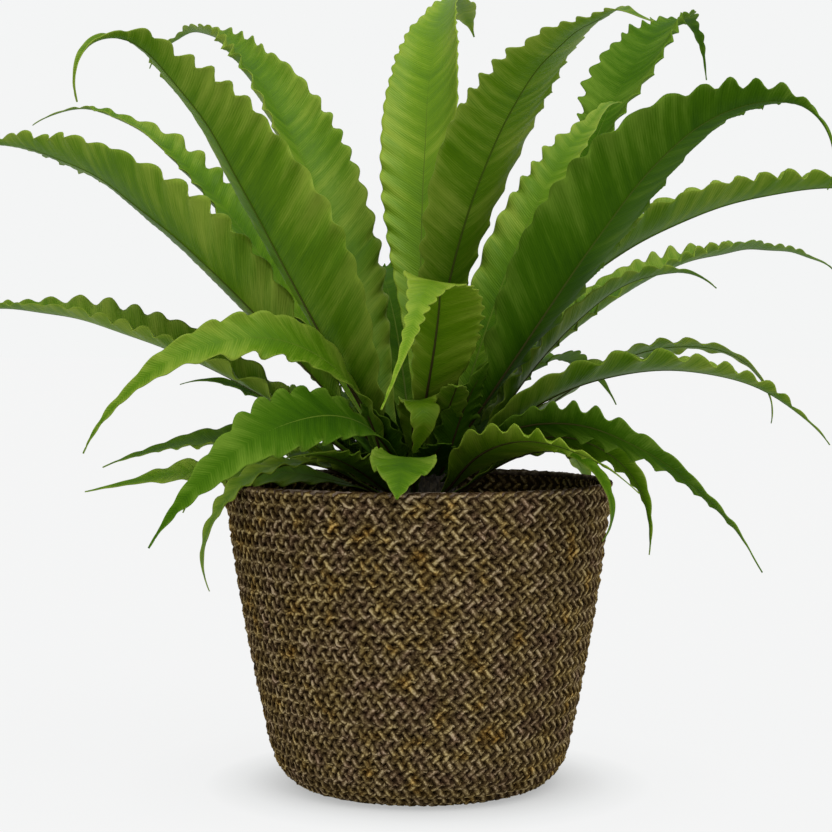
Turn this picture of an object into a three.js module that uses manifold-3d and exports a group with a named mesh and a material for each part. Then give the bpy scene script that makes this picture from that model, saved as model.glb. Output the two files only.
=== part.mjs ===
// A fern with long, undivided, wavy-edged fronds, growing in a plastic nursery pot
// that stands inside a round basket of coiled and stitched braid.
// Millimetres, +Z up. The basket stands on z = 0 with the middle of its mouth on the Z axis.
import * as THREE from "three";
import { mergeVertices } from "three/addons/utils/BufferGeometryUtils.js";
import Module from "manifold-3d";

const wasm = await Module();
wasm.setup();

const seat = 0.3; // gap left between pieces that touch

// Basket
const basketHeight = 190;
const basketMouthRadius = 119.6;
const basketBaseRadius = 62; // flat disc that stands on the floor
const basketCornerRadius = 30; // the soft bend between base and wall
const basketWallStart = 26; // height at which that bend meets the wall
const basketWaistRadius = 92; // radius at that height
const basketSwell = 2.4; // how far the wall bellies out halfway up
const basketThickness = 5.5;
const rowPitch = 9.3; // one turn of the braid above the next
const rowBulge = 0.8; // how far a row stands out from the seams beside it
const basketLean = 1.5; // the base sits this far to the right of the mouth
const basketSides = 36;

// Nursery pot
const potHeight = 158;
const potBaseRadius = 62;
const potMouthRadius = 94;
const potThickness = 2;
const potFloor = 2.5;
const potLipHeight = 8;
const potLipReach = 3;
const drainRadius = 5;
const drainCircle = 44; // radius of the ring that the drain holes lie on
const drainCount = 6;

// Soil and crown
const soilLevel = 160;
const soilMound = 18; // height of the heap against the crown
const moundReach = 62; // radius at which the heap has run out
const crownMiddle = 172; // height of the centre of the crown's dome
const crownRadius = 28;
const crownFoot = 136; // height of the underside of the rootstock
const crownFootRadius = 15;

// Fronds
const stalkHalfWidth = 1.8; // also the thin tail's
const ribDepth = 2.6; // the midrib at the stalk, thinning to the blade at the tip
const bladeThickness = 0.8;
const waveLength = 26; // spacing of the ruffles along a margin
const waveHeight = 5; // most that a margin swings out of the blade
const rowStep = waveLength / 2;
const turnOut = 32; // length over which a stalk turns from the crown to its own heading

// Heights on the crown, in degrees above level, and least spacing of the stalks round it
const rings = {
  young: { elevation: 77, spacing: 52 },
  upper: { elevation: 57, spacing: 26 },
  middle: { elevation: 38, spacing: 22 },
  lower: { elevation: 20, spacing: 20 },
};

// The fronds, ring by ring. Angles in degrees: the heading is 0 to the right, 90 to the back,
// 180 to the left and -90 to the front.
// name, heading, length, width, climb at the crown, climb at the tip, how late it bends over,
// turn of the heading by the tip, roll about the midrib, fold of each half out of flat,
// and, where they are not the usual ones, how far towards the tip the blade is widest and the
// share of the length by which the bend is complete
const fronds = {
  young: [
    ["tall_back", 88, 441, 56, 75, -45, 3.88, -15, -20, 20, 1.03],
    ["tall_front", -66.4, 468, 57, 89, -19, 0.95, -12, 11, 17],
    ["small_left", -158.5, 44, 17, 62.3, 50, 1.56, 6, -3, 6, 0.97],
    ["folded_front", -69.8, 274, 49, 58.8, -57, 2.68, -63, -11, 4, 0.78, 0.78],
  ],
  upper: [
    ["right_front", -28.2, 393, 80, 53, -125, 5.27, -17, -17, 25, 0.91],
    ["right_sweep", -0.7, 441, 55, 69.1, -26, 1.05, -2, 3, 36, 0.78],
    ["right_back", 33, 350, 37, 70, 4, 2.2, 37, 18, 14, 0.82],
    ["right_hook", 50.3, 590, 55, 49, -65, 5.63, 19, -5, 16, 0.82],
    ["back", 100, 300, 52, 58, -50, 2.0, 0, 0, 16],
    ["left_back", 128.4, 521, 61, 64.5, -30, 2.6, -10, 2, 32, 0.79],
    ["left_behind", 159.8, 400, 40, 56.1, -23, 3.33, -19, -5, 16, 0.93],
    ["left_sweep", -171.8, 390, 75, 48.5, -10, 2.88, -57, 32, 24, 0.98],
    ["left_front", -145, 394, 80, 55.8, -111, 6.48, 29, 1, 36, 0.78],
    ["small_forked", -98.1, 99, 18, 84.1, -120, 2.7, 51, 3, 7, 1.31, 0.8],
    ["small_right", -60, 93, 17, 66.9, -9, 1.73, -37, -7, 9, 0.98],
  ],
  middle: [
    ["right_1", 34.6, 479, 42, 57.2, -14, 0.85, 21, -2, 25, 0.82],
    ["right_2", -24.6, 275, 54, 51.9, -49, 1.18, 50, -1, 23, 0.78],
    ["right_3", 14.7, 263, 40, 55.9, -27, 2.32, 29, -14, 29, 0.79],
    ["right_4", 13.1, 257, 33, 38, -104, 3.42, -23, -17, 4, 0.78],
    ["right_5", -45, 272, 34, 62.9, -54, 0.65, 3, -41, 4, 1.13],
    ["back_1", 52, 250, 46, 44, -50, 1.8, 0, 0, 16],
    ["back_2", 84, 240, 46, 38, -45, 1.6, 0, 0, 14],
    ["back_3", 118, 230, 46, 36, -50, 1.6, 0, 0, 14],
    ["left_1", 152.8, 168, 28, 31.6, -15, 3.19, 4, -15, 14, 0.9],
    ["left_2", 178, 362, 48, 40.1, -7, 1.1, -47, -9, 31, 0.88],
    ["left_3", -123.6, 279, 33, 81.6, -66, 0.99, -58, -50, 13, 0.82],
    ["left_4", -117.2, 246, 35, 70.6, -59, 0.7, -43, -50, 6, 0.98],
  ],
  lower: [
    ["low_right_1", -27.7, 183, 30, 66.1, -100, 1.1, -3, -50, 12, 0.93],
    ["low_right_2", -32.1, 156, 16, 36, -130, 2.15, -3, 1, 6],
    ["low_right_3", -57.6, 172, 40, 58, -42, 0.9, 35, -20, 4, 0.85],
    ["low_front", -93.6, 127, 42, 35, -41, 1.9, -4, -4, 4, 1.69, 0.9],
    ["low_left_1", -123.9, 114, 34, 30.4, -8, 1.58, 0, 2, 8],
    ["low_left_2", -150, 172, 20, 42, -112, 1.27, -12, -8, 10, 0.88],
    ["low_left_3", -170.7, 183, 31, 25.5, -15, 0.65, -12, -28, 4, 0.8],
    ["low_left_4", 165.6, 188, 28, 54, -25, 0.65, 15, -23, 9, 0.94],
    ["low_back_1", 56, 230, 44, 30, -60, 1.5, 0, 0, 14],
    ["low_back_2", 98, 190, 34, 24, -80, 1.6, 0, 0, 12],
    ["low_back_3", 140, 210, 40, 28, -60, 1.5, 0, 0, 14],
  ],
};

// Colours
const braidBrown = 0x65532f;
const potBlack = 0x1d1e1f;
const soilBrown = 0x2a211a;
const crownBrown = 0x34271a;
const shadedGreen = 0x2f5a14;
const leafGreen = 0x437a1c;
const freshGreen = 0x6ea32c;

const radians = THREE.MathUtils.degToRad;

function material(color, roughness) {
  return new THREE.MeshStandardMaterial({ color, roughness, metalness: 0 });
}

function piece(name, geometry, surface) {
  const mesh = new THREE.Mesh(geometry, surface);
  mesh.name = name;
  return mesh;
}

// A closed solid turned about Z from a profile of [radius, height] points that starts and
// ends on the axis.
function turned(profile, sides) {
  const points = profile.map(([radius, height]) => new THREE.Vector2(radius, height));
  return new THREE.LatheGeometry(points, sides).rotateX(Math.PI / 2);
}

function solid(geometry) {
  const bare = geometry.index ? geometry.toNonIndexed() : geometry;
  const points = new THREE.BufferGeometry();
  points.setAttribute("position", bare.getAttribute("position"));
  const merged = mergeVertices(points, 1e-3);
  return new wasm.Manifold(
    new wasm.Mesh({
      numProp: 3,
      vertProperties: merged.getAttribute("position").array,
      triVerts: new Uint32Array(merged.index.array),
    }),
  );
}

function geometryOf(body) {
  const mesh = body.getMesh();
  return new THREE.BufferGeometry()
    .setAttribute("position", new THREE.BufferAttribute(mesh.vertProperties, 3))
    .setIndex(new THREE.BufferAttribute(mesh.triVerts, 1));
}

// Moves each vertex sideways so that the foot of a turned piece sits to the right.
function lean(geometry) {
  const position = geometry.getAttribute("position");
  for (let i = 0; i < position.count; i++) {
    const drop = 1 - position.getZ(i) / basketHeight;
    position.setX(i, position.getX(i) + basketLean * drop);
  }
  return geometry;
}

// Basket: outer radius at a height on the wall above the rounded base.
function wallRadius(height) {
  const up = (height - basketWallStart) / (basketHeight - basketWallStart);
  const straight = THREE.MathUtils.lerp(basketWaistRadius, basketMouthRadius, up);
  return straight + basketSwell * Math.sin(Math.PI * up);
}

// Outline of the seams, from the floor disc round the soft corner and up the wall.
function basketSeams() {
  const seams = [];
  const cornerTurn = radians(80);
  const cornerRows = Math.round((basketCornerRadius * cornerTurn) / rowPitch);
  for (let i = 0; i < cornerRows; i++) {
    const angle = (cornerTurn * i) / cornerRows;
    seams.push([
      basketBaseRadius + basketCornerRadius * Math.sin(angle),
      basketCornerRadius * (1 - Math.cos(angle)),
    ]);
  }
  const wallRows = Math.round((basketHeight - basketWallStart) / rowPitch);
  for (let i = 0; i <= wallRows; i++) {
    const height = THREE.MathUtils.lerp(basketWallStart, basketHeight, i / wallRows);
    seams.push([wallRadius(height), height]);
  }
  return seams;
}

// Outer profile: each row of braid swells out between its two seams.
function basketOutside() {
  const seams = basketSeams();
  const outside = [[0, 0]];
  for (let i = 0; i + 1 < seams.length; i++) {
    const [r0, z0] = seams[i];
    const [r1, z1] = seams[i + 1];
    const span = Math.hypot(r1 - r0, z1 - z0);
    const out = i === 0 ? 0 : rowBulge / span;
    outside.push([r0, z0]);
    outside.push([(r0 + r1) / 2 + (z1 - z0) * out, (z0 + z1) / 2 - (r1 - r0) * out]);
  }
  return outside;
}

function makeBasket() {
  const profile = basketOutside();
  profile.push([basketMouthRadius, basketHeight - 1.5]);
  profile.push([basketMouthRadius - 1.5, basketHeight]);
  profile.push([basketMouthRadius - basketThickness + 1.5, basketHeight]);
  profile.push([basketMouthRadius - basketThickness, basketHeight - 1.5]);
  for (const height of [150, 100, 60]) {
    profile.push([wallRadius(height) - basketThickness, height]);
  }
  for (const angle of [72, 48, 24, 0]) {
    const inside = basketCornerRadius - basketThickness;
    profile.push([
      basketBaseRadius + inside * Math.sin(radians(angle)),
      basketCornerRadius - inside * Math.cos(radians(angle)),
    ]);
  }
  profile.push([0, basketThickness]);
  return lean(turned(profile, basketSides));
}

// Nursery pot: a thin tapered shell with a turned-out lip and drain holes in its floor.
const potBottom = basketThickness + seat;
const potTop = potBottom + potHeight;

function potRadius(height) {
  const up = (height - potBottom) / potHeight;
  return THREE.MathUtils.lerp(potBaseRadius, potMouthRadius, up);
}

function drainHoles() {
  return Array.from({ length: drainCount }, (_, i) => {
    const angle = (2 * Math.PI * i) / drainCount;
    const hole = new THREE.CylinderGeometry(drainRadius, drainRadius, 4 * potFloor, 10);
    hole.rotateX(Math.PI / 2);
    hole.translate(drainCircle * Math.cos(angle), drainCircle * Math.sin(angle), potBottom);
    return solid(hole);
  });
}

function makePot() {
  const underLip = potTop - potLipHeight;
  const shell = turned(
    [
      [0, potBottom],
      [potBaseRadius, potBottom],
      [potRadius(underLip), underLip],
      [potRadius(underLip) + potLipReach, underLip],
      [potMouthRadius + potLipReach, potTop],
      [potMouthRadius - potThickness, potTop],
      [potBaseRadius - potThickness, potBottom + potFloor],
      [0, potBottom + potFloor],
    ],
    basketSides,
  );
  const drilled = drainHoles().reduce((pot, hole) => pot.subtract(hole), solid(shell));
  return lean(geometryOf(drilled));
}

// Crown: a scaly dome on a tapering rootstock, which the soil holds.
function crownProfile(gap) {
  const profile = [[0, crownFoot - gap], [crownFootRadius + gap, crownFoot - gap]];
  for (const elevation of [-30, -14, 3, 20, 38, 57, 77]) {
    profile.push([
      (crownRadius + gap) * Math.cos(radians(elevation)),
      crownMiddle + (crownRadius + gap) * Math.sin(radians(elevation)),
    ]);
  }
  profile.push([0, crownMiddle + crownRadius + gap]);
  return profile;
}

function makeCrown() {
  return turned(crownProfile(0), 24);
}

// Soil: fills the pot, heaps up against the crown and is hollow where the crown sits.
function soilHeight(radius) {
  const out = THREE.MathUtils.clamp((radius - crownRadius) / (moundReach - crownRadius), 0, 1);
  return soilLevel + soilMound * (1 - THREE.MathUtils.smoothstep(out, 0, 1));
}

function makeSoil() {
  const floor = potBottom + potFloor + seat;
  const inside = (height) => potRadius(height) - potThickness - 2 * seat;
  const profile = [[0, floor], [inside(floor) - 2, floor], [inside(soilLevel), soilLevel]];
  for (const radius of [78, moundReach, 52, 43, 35]) profile.push([radius, soilHeight(radius)]);
  profile.push([crownRadius - 2, soilHeight(crownRadius)]);
  profile.push([0, soilHeight(crownRadius)]);
  const heap = solid(lean(turned(profile, basketSides)));
  return geometryOf(heap.subtract(solid(turned(crownProfile(seat), 24))));
}

// Pushes the stalks of one ring apart until each has its spacing round the crown.
function spread(headings, spacing) {
  const order = headings.map((heading, i) => [THREE.MathUtils.euclideanModulo(heading, 360), i]);
  order.sort((a, b) => a[0] - b[0]);
  for (let pass = 0; pass < 400; pass++) {
    order.forEach((stalk, i) => {
      const next = order[(i + 1) % order.length];
      const wrap = i + 1 === order.length ? 360 : 0;
      const short = spacing - (next[0] + wrap - stalk[0]);
      if (short > 0) {
        stalk[0] -= short / 4;
        next[0] += short / 4;
      }
    });
  }
  const seats = [];
  for (const [angle, i] of order) {
    const turn = THREE.MathUtils.euclideanModulo(angle - headings[i] + 180, 360) - 180;
    seats[i] = headings[i] + turn;
  }
  return seats;
}

function direction(climb, heading) {
  const level = Math.cos(radians(climb));
  return new THREE.Vector3(
    level * Math.cos(radians(heading)),
    level * Math.sin(radians(heading)),
    Math.sin(radians(climb)),
  );
}

// Climb and heading of the midrib at a share t of the frond's length.
function course(frond, t) {
  const start = Math.max(1 - (t * frond.length) / Math.min(turnOut, 0.4 * frond.length), 0) ** 2;
  const bent = Math.min(t / frond.settled, 1) ** frond.late;
  const climb = frond.rise + (frond.droop - frond.rise) * bent;
  const heading = frond.heading + frond.swing * t ** 1.5;
  return [
    climb + (frond.seatClimb - frond.rise) * start,
    heading + (frond.seatHeading - frond.heading) * start,
  ];
}

function halfWidth(frond, t) {
  const belly = Math.sin(Math.PI * t ** frond.belly) ** 2;
  return (frond.width / 2) * belly + stalkHalfWidth * (1 - 0.8 * t ** 6);
}

// Six points round the blade at t: left margin, midrib and right margin, above and below.
function frondSection(frond, t, row, centre) {
  const [climb, heading] = course(frond, t);
  const along = direction(climb, heading);
  const flat = new THREE.Vector3(Math.sin(radians(heading)), -Math.cos(radians(heading)), 0);
  const tilt = radians(frond.roll) * Math.min(3 * t, 1);
  const up = new THREE.Vector3().crossVectors(flat, along).applyAxisAngle(along, tilt);
  const across = flat.clone().applyAxisAngle(along, tilt);
  const half = halfWidth(frond, t);
  const fold = radians(frond.fold);
  const swell = Math.min(waveHeight, 0.2 * (half - stalkHalfWidth));
  const rib = THREE.MathUtils.lerp(ribDepth, bladeThickness, t) / 2;
  const margins = [-1, 1].map((side) => {
    const outward = across.clone().multiplyScalar(side * Math.cos(fold));
    outward.addScaledVector(up, Math.sin(fold));
    const normal = up.clone().multiplyScalar(Math.cos(fold));
    normal.addScaledVector(across, -side * Math.sin(fold));
    const wave = swell * ((row + (side > 0 ? 1 : 0)) % 2 ? 1 : -1);
    const edge = centre.clone().addScaledVector(outward, half).addScaledVector(normal, wave);
    return [bladeThickness / 2, -bladeThickness / 2].map((offset) =>
      edge.clone().addScaledVector(normal, offset),
    );
  });
  const middle = [rib, -rib].map((offset) => centre.clone().addScaledVector(up, offset));
  return [margins[0][0], middle[0], margins[1][0], margins[1][1], middle[1], margins[0][1]];
}

// The blade's closed skin: six strips between one section and the next, and two ends.
function frondSkin(sections) {
  const positions = sections.flat().flatMap((point) => point.toArray());
  const index = [];
  const quad = (a, b, c, d) => index.push(a, b, c, a, c, d);
  for (let row = 0; row + 1 < sections.length; row++) {
    const a = 6 * row;
    const b = a + 6;
    for (const [i, j] of [[0, 1], [1, 2], [2, 3], [3, 4], [4, 5], [5, 0]]) {
      const flip = i === 3 || i === 4;
      if (flip) index.push(a + i, a + j, b + i, a + j, b + j, b + i);
      else quad(a + i, a + j, b + j, b + i);
    }
  }
  const end = positions.length / 3 - 6;
  quad(0, 5, 4, 1);
  quad(1, 4, 3, 2);
  quad(end, end + 1, end + 4, end + 5);
  quad(end + 1, end + 2, end + 3, end + 4);
  const geometry = new THREE.BufferGeometry();
  geometry.setAttribute("position", new THREE.Float32BufferAttribute(positions, 3));
  return geometry.setIndex(index);
}

function makeFrond(frond) {
  const rows = Math.max(Math.round(frond.length / rowStep), 4);
  const centre = new THREE.Vector3(0, 0, crownMiddle);
  const reach = crownRadius + seat;
  centre.addScaledVector(direction(frond.seatClimb, frond.seatHeading), reach);
  const sections = [frondSection(frond, 0, 0, centre)];
  for (let row = 1; row <= rows; row++) {
    const [climb, heading] = course(frond, (row - 0.5) / rows);
    centre.addScaledVector(direction(climb, heading), frond.length / rows);
    sections.push(frondSection(frond, row / rows, row, centre));
  }
  return frondSkin(sections);
}

function ringOfFronds(ring, color) {
  const { elevation, spacing } = rings[ring];
  const seats = spread(fronds[ring].map((row) => row[1]), spacing);
  return fronds[ring].map((row, i) => {
    const [name, heading, length, width, rise, droop, late, swing, roll, fold] = row;
    const [belly = 0.95, settled = 1] = row.slice(10);
    const shape = { heading, length, width, rise, droop, late, swing, roll, fold, belly, settled };
    const frond = { ...shape, seatClimb: elevation, seatHeading: seats[i] };
    return piece("frond_" + name, makeFrond(frond), material(color, 0.45));
  });
}

const fern = new THREE.Group();
fern.add(piece("basket", makeBasket(), material(braidBrown, 0.9)));
fern.add(piece("nursery_pot", makePot(), material(potBlack, 0.5)));
fern.add(piece("soil", makeSoil(), material(soilBrown, 0.95)));
fern.add(piece("crown", makeCrown(), material(crownBrown, 0.9)));
fern.add(...ringOfFronds("young", freshGreen));
fern.add(...ringOfFronds("upper", leafGreen));
fern.add(...ringOfFronds("middle", leafGreen));
fern.add(...ringOfFronds("lower", shadedGreen));

export default fern;
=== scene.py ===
import math
import random

import bpy
import numpy as np
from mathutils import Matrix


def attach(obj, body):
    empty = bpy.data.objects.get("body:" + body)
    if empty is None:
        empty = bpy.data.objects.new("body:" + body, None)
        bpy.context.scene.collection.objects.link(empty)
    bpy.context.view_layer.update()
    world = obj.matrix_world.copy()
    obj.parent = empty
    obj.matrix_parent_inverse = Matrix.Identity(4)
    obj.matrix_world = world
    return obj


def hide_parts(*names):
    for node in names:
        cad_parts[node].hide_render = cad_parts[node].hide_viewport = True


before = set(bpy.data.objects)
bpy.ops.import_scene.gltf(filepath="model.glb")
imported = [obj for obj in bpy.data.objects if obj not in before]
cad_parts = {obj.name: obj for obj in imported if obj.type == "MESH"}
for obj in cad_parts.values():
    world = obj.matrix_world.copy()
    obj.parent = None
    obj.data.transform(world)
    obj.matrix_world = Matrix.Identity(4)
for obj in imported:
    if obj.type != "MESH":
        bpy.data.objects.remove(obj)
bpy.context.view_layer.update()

# ---- Basket ---------------------------------------------------------------------------------
# One long flat braid of dark brown and tan yarn, coiled row upon row from the middle of the
# base and sewn edge to edge. Each row is a three-strand plait standing on its edge in the wall.

MM = 0.001  # the sizes are in millimetres and the scene is in metres
basket_height = 190
mouth_radius = 119.6
base_radius = 62
corner_radius = 30
corner_turn = math.radians(80)
wall_start = 26
waist_radius = 92  # at the wall's start
wall_swell = 2.4  # how far the wall bulges half way up
wall_thickness = 5.5
row_pitch = 9.3
base_rows = 6
coil_eye = 2.0  # radius of the small hole that the coil starts round
foot_shift = 1.5  # the base sits this far to the right of the mouth
floor_gap = 0.1
plait_repeat = 18.5  # length in which each strand crosses the row and comes back
wall_repeats = 31  # the plait opens out as the rows get longer up the wall
segments_per_repeat = 12
zigzag = 0.8  # near 0 a strand would swing in a smooth wave, at 1 in sharp turns
strand_inset = 0.1  # the strands' middle lies this far inside the seams
yarn_half_width = 2.25
yarn_half_thickness = 1.3
yarn_sway = 4.7  # how far a strand swings to either side of its row's middle
yarn_dive = 1.15  # how far it dips in and out as it passes its neighbours
yarn_hook = 1.2  # how far its turns at the row's edges hang back behind its crossings
yarn_slant = 1.2  # how strongly its flat side turns with its course
yarn_fluff = 0.24  # how uneven its felted surface is
rim_sway = 2.6  # the top row's strands stop here, under the rim cord


def lean(points):
    """Shifts points, in millimetres, to the right by their depth below the mouth."""
    points[:, 0] += foot_shift * (1 - points[:, 2] / basket_height)
    return points


def wall_radius(height):
    """The wall's radius, which grows to the mouth with a slight swell."""
    up = (height - wall_start) / (basket_height - wall_start)
    return waist_radius + (mouth_radius - waist_radius) * up + wall_swell * math.sin(math.pi * up)


def wall_seams():
    """(radius, height) of every seam between two rows, round the corner and up the wall."""
    corner_rows = round(corner_radius * corner_turn / row_pitch)
    seams = []
    for i in range(corner_rows):
        angle = corner_turn * i / corner_rows
        seams.append((base_radius + corner_radius * math.sin(angle), corner_radius * (1 - math.cos(angle))))
    wall_rows = round((basket_height - wall_start) / row_pitch)
    for i in range(wall_rows + 1):
        height = wall_start + (basket_height - wall_start) * i / wall_rows
        seams.append((wall_radius(height), height))
    return seams


def points_of(obj):
    """An object's vertices as an array, in metres."""
    flat = np.empty(3 * len(obj.data.vertices))
    obj.data.vertices.foreach_get("co", flat)
    return flat.reshape(-1, 3)


def set_points(obj, points):
    """Places the vertices, given in millimetres, and leaves the object at the origin."""
    obj.location = (0, 0, 0)
    obj.data.vertices.foreach_set("co", (points * MM).ravel())
    obj.data.update()


def join_pieces(objs, name):
    """Joins objects into the first of them, as one named piece."""
    bpy.ops.object.select_all(action="DESELECT")
    for obj in objs:
        obj.select_set(True)
    bpy.context.view_layer.objects.active = objs[0]
    bpy.ops.object.join()
    objs[0].name = objs[0].data.name = name
    return objs[0]


def plait_strand(lower_seam, upper_seam, row, strand):
    """One strand of one row: a ring woven across the row and through its thickness."""
    (r0, z0), (r1, z1) = lower_seam, upper_seam
    span = math.hypot(r1 - r0, z1 - z0)
    rise, lie = (z1 - z0) / span, (r1 - r0) / span
    middle_r = (r0 + r1) / 2 - strand_inset * rise
    middle_z = (z0 + z1) / 2 + strand_inset * lie
    repeats = min(max(round(2 * math.pi * middle_r / plait_repeat), 2), wall_repeats)
    bpy.ops.mesh.primitive_torus_add(major_segments=segments_per_repeat * repeats, minor_segments=8,
                                     major_radius=middle_r * MM, minor_radius=MM)
    ring = bpy.context.object
    found = points_of(ring) / MM
    turn = np.arctan2(found[:, 1], found[:, 0])
    side = np.arctan2(found[:, 2], np.hypot(found[:, 0], found[:, 1]) - middle_r)

    # No two rows keep quite the same step or the same tightness on their way round.
    wander = 0.8 * np.sin(2 * turn + 1.3 * row) + 0.5 * np.sin(7 * turn + 2.1 * row)
    wander = wander + 0.9 * math.sin(2.3 * row)
    phase = repeats * (turn + math.pi / 2) + 2 * math.pi * strand / 3 + wander
    loose = np.sin(5 * turn + 3 * row) + np.sin(11 * turn + 7 * row + strand)

    bend = zigzag * np.sin(phase)
    across = (yarn_sway + 0.12 * loose) * np.arcsin(bend) / math.asin(zigzag)
    if upper_seam[1] >= basket_height:
        across = np.minimum(across, rim_sway)
    hook = -yarn_hook * np.abs(across) / yarn_sway
    dive = yarn_dive * np.sin(2 * phase - 0.25) + 0.1 * np.sin(3 * turn + 2 * row)
    steepness = yarn_slant * np.cos(phase) / np.sqrt(1 - bend * bend) / math.asin(zigzag)
    slant = np.arctan(yarn_sway * repeats * steepness / middle_r)
    wide = yarn_half_width * (1 + 0.06 * loose) * np.sin(side)
    thick = yarn_half_thickness * np.cos(side)
    across = across + wide * np.cos(slant)
    along = hook - wide * np.sin(slant)
    fluff = np.random.default_rng(10 * row + strand).normal(0, yarn_fluff, (3, len(turn)))
    across, along, thick = across + fluff[0], along + 1.3 * fluff[1], thick + fluff[2]
    radius = middle_r + across * lie + (dive + thick) * rise
    height = middle_z + across * rise - (dive + thick) * lie
    points = np.stack([radius * np.cos(turn) - along * np.sin(turn),
                       radius * np.sin(turn) + along * np.cos(turn),
                       np.maximum(height, floor_gap)], axis=1)
    set_points(ring, lean(points))

    # The yarn's colours run along each strand, a step a repeat, and start elsewhere on the next.
    wrap = ring.data.uv_layers.active.uv
    corners = np.empty(2 * len(wrap))
    wrap.foreach_get("vector", corners)
    corners = corners.reshape(-1, 2)
    corners[:, 0] = corners[:, 0] * repeats + 40 * (3 * row + strand)
    wrap.foreach_set("vector", corners.ravel())
    bpy.ops.object.shade_smooth()
    return ring


def place(tree, kind, values=None, **settings):
    """Adds a shader node, sets it, and gives its inputs numbers, colours or other nodes' outputs."""
    node = tree.nodes.new(kind)
    for key, value in settings.items():
        setattr(node, key, value)
    for key, value in (values or {}).items():
        if isinstance(value, bpy.types.NodeSocket):
            tree.links.new(value, node.inputs[key])
        else:
            node.inputs[key].default_value = value
    return node


def ramp(tree, factor, stops):
    """A colour ramp over factor, from stops of (place, colour)."""
    node = place(tree, "ShaderNodeValToRGB", {"Fac": factor})
    for i, (where, color) in enumerate(stops):
        stop = node.color_ramp.elements[i] if i < 2 else node.color_ramp.elements.new(where)
        stop.position = where
        stop.color = (*color, 1)
    return node.outputs["Color"]


def blend_colors(tree, factor, first, second, kind="MIX"):
    """Mixes or multiplies two colours that other nodes put out."""
    inputs = {0: factor, 6: first, 7: second}
    return place(tree, "ShaderNodeMix", inputs, data_type="RGBA", blend_type=kind).outputs[2]


def calc(tree, operation, first, second=0.0, third=0.0):
    """One step of arithmetic on numbers or other nodes' outputs."""
    return place(tree, "ShaderNodeMath", {0: first, 1: second, 2: third}, operation=operation).outputs[0]


def new_finish(name, roughness):
    """A new material, with its node tree and its shader to go on with."""
    finish = bpy.data.materials.new(name)
    finish.use_nodes = True
    shader = finish.node_tree.nodes["Principled BSDF"]
    shader.inputs["Roughness"].default_value = roughness
    return finish, finish.node_tree, shader


def yarn_finish():
    """Two-tone felted yarn with tan tufts and ochre patches, painted light on each crest and shade at the
    sides.
    """
    finish, tree, shader = new_finish("braided yarn", 0.9)
    strand = place(tree, "ShaderNodeUVMap", uv_map="UVMap").outputs["UV"]
    split = place(tree, "ShaderNodeSeparateXYZ", {"Vector": strand})
    length, around = split.outputs["X"], split.outputs["Y"]
    object_place = place(tree, "ShaderNodeTexCoord").outputs["Object"]
    ply = calc(tree, "ADD", calc(tree, "MULTIPLY", length, 12.0), calc(tree, "MULTIPLY", around, 3.0))
    plies = calc(tree, "ABSOLUTE", calc(tree, "SINE", calc(tree, "MULTIPLY", ply, math.pi)))
    arms = place(tree, "ShaderNodeMapping", {"Vector": strand, "Scale": (1.9, 0.0, 0.0)})
    arm = place(tree, "ShaderNodeTexNoise", {"Vector": arms.outputs[0], "Scale": 1.0, "Detail": 1.0})
    hairs = place(tree, "ShaderNodeMapping", {"Vector": strand, "Scale": (9.0, 4.0, 1.0)})
    hair = place(tree, "ShaderNodeTexNoise", {"Vector": hairs.outputs[0], "Scale": 1.0, "Detail": 3.0})
    patches = place(tree, "ShaderNodeTexNoise", {"Vector": object_place, "Scale": 75.0, "Detail": 2.5})
    # Painted highlight and shade: each strand is lit along its crest, facing out or in, and left dark at its
    # sides.
    crest_painted_light = calc(tree, "ABSOLUTE", calc(tree, "COSINE", calc(tree, "MULTIPLY", around, 2 * math.pi)))
    tufts = place(tree, "ShaderNodeTexNoise", {"Vector": object_place, "Scale": 850.0, "Detail": 3.0})
    bright = calc(tree, "MULTIPLY_ADD", arm.outputs["Fac"], 2.4, -0.95)
    bright = calc(tree, "MULTIPLY_ADD", hair.outputs["Fac"], 1.3, bright)
    bright = calc(tree, "MULTIPLY", calc(tree, "POWER", crest_painted_light, 5.0), calc(tree, "MULTIPLY", bright, 0.72))
    bright = calc(tree, "MULTIPLY_ADD", tufts.outputs["Fac"], 1.25, calc(tree, "ADD", bright, -0.56))
    bright = calc(tree, "MULTIPLY_ADD", plies, 0.08, bright)
    colors = ramp(tree, bright, [(0.0, (0.022, 0.013, 0.006)), (0.4, (0.070, 0.047, 0.021)),
                                 (0.75, (0.19, 0.142, 0.068)), (1.0, (0.40, 0.325, 0.19))])
    tinted = ramp(tree, patches.outputs["Fac"], [(0.3, (0.95, 0.84, 0.98)), (0.45, (1.0, 0.97, 0.95)),
                                                 (0.6, (1.05, 1.0, 0.75)), (0.76, (1.35, 1.05, 0.5))])
    color = blend_colors(tree, 1.0, colors, tinted, "MULTIPLY")
    tree.links.new(color, shader.inputs["Base Color"])
    fuzz = place(tree, "ShaderNodeTexNoise", {"Vector": object_place, "Scale": 2600.0, "Detail": 2.0})
    relief = calc(tree, "ADD", calc(tree, "MULTIPLY", plies, 0.7), fuzz.outputs["Fac"])
    bump = place(tree, "ShaderNodeBump", {"Height": relief, "Strength": 0.7, "Distance": 0.0005})
    tree.links.new(bump.outputs["Normal"], shader.inputs["Normal"])
    shader.inputs["Specular IOR Level"].default_value = 0.0
    return finish


def dress(obj, finish, node):
    """Gives a finished piece its material and its body, and hides the CAD part of the node it stands for."""
    if finish:
        obj.data.materials.clear()
        obj.data.materials.append(finish)
    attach(obj, "root")
    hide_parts(node)


yarn = yarn_finish()
seams = wall_seams()
base_seams = [(base_radius - row_pitch * i, 0.0) for i in range(base_rows, -1, -1)]
base_seams[0] = (coil_eye, 0.0)

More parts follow.
